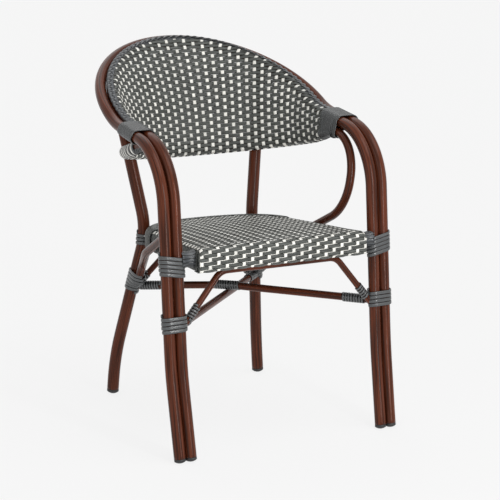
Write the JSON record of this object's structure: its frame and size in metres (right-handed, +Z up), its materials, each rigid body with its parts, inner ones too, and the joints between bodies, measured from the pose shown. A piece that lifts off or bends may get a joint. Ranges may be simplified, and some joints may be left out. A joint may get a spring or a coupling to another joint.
{
  "type": "rattan bistro armchair",
  "caption": "Stacking bistro armchair with bamboo-look bent tubes, a woven seat and curved back panel, and bound joints.",
  "frame": {"origin": "on the floor, at the centre of the chair's outline seen from above", "axes": "+Z up, +Y towards the back of the chair, +X to the right for a viewer who faces its front with the seat towards them, so the sitter looks along -Y"},
  "size_m": [0.5578, 0.6332, 0.8357],
  "materials": {
    "brown_tube": "glossy walnut brown coating with a fine grain",
    "weave": "woven grey and cream synthetic cane",
    "binding": "satin grey synthetic cane strand",
    "glide": "moulded black plastic",
    "bare_metal": "plain"
  },
  "bodies": {
    "root": {"outer_leg_arm_tube_left": "brown_tube", "outer_leg_arm_tube_right": "brown_tube", "inner_leg_arm_tube_left": "brown_tube", "inner_leg_arm_tube_right": "brown_tube", "outer_front_glide_left": "glide", "outer_front_glide_right": "glide", "inner_front_glide_left": "glide", "inner_front_glide_right": "glide", "outer_back_hoop": "brown_tube", "inner_back_hoop": "brown_tube", "lower_back_rail": "brown_tube", "rear_leg_left": "brown_tube", "rear_leg_right": "brown_tube", "rear_glide_left": "glide", "rear_glide_right": "glide", "arm_brace_left": "brown_tube", "arm_brace_right": "brown_tube", "seat_weave": "weave", "seat_frame": "bare_metal", "seat_support_front": "bare_metal", "seat_support_rear": "bare_metal", "seat_stub_left": "binding", "seat_stub_right": "binding", "rear_cross_rail": "brown_tube", "back_weave": "weave", "hoop_edge_braid": "binding", "front_arch": "brown_tube", "rear_arch": "brown_tube", "straight_stretcher": "brown_tube", "raised_stretcher": "brown_tube", "stretcher_sleeve_front_left": "binding", "stretcher_sleeve_rear_right": "binding", "stretcher_sleeve_front_right": "binding", "stretcher_sleeve_rear_left": "binding", "front_arch_sleeve_left": "binding", "front_arch_sleeve_right": "binding", "rear_arch_sleeve_left": "binding", "rear_arch_sleeve_right": "binding", "crossing_sleeve": "binding", "front_lower_wrap_left": "binding", "front_upper_wrap_left": "binding", "front_lower_wrap_right": "binding", "front_upper_wrap_right": "binding", "rear_lower_wrap_left": "binding", "rear_upper_wrap_left": "binding", "rear_lower_wrap_right": "binding", "rear_upper_wrap_right": "binding", "arm_wrap_left": "binding", "arm_wrap_right": "binding"}
  },
  "joints": []
}
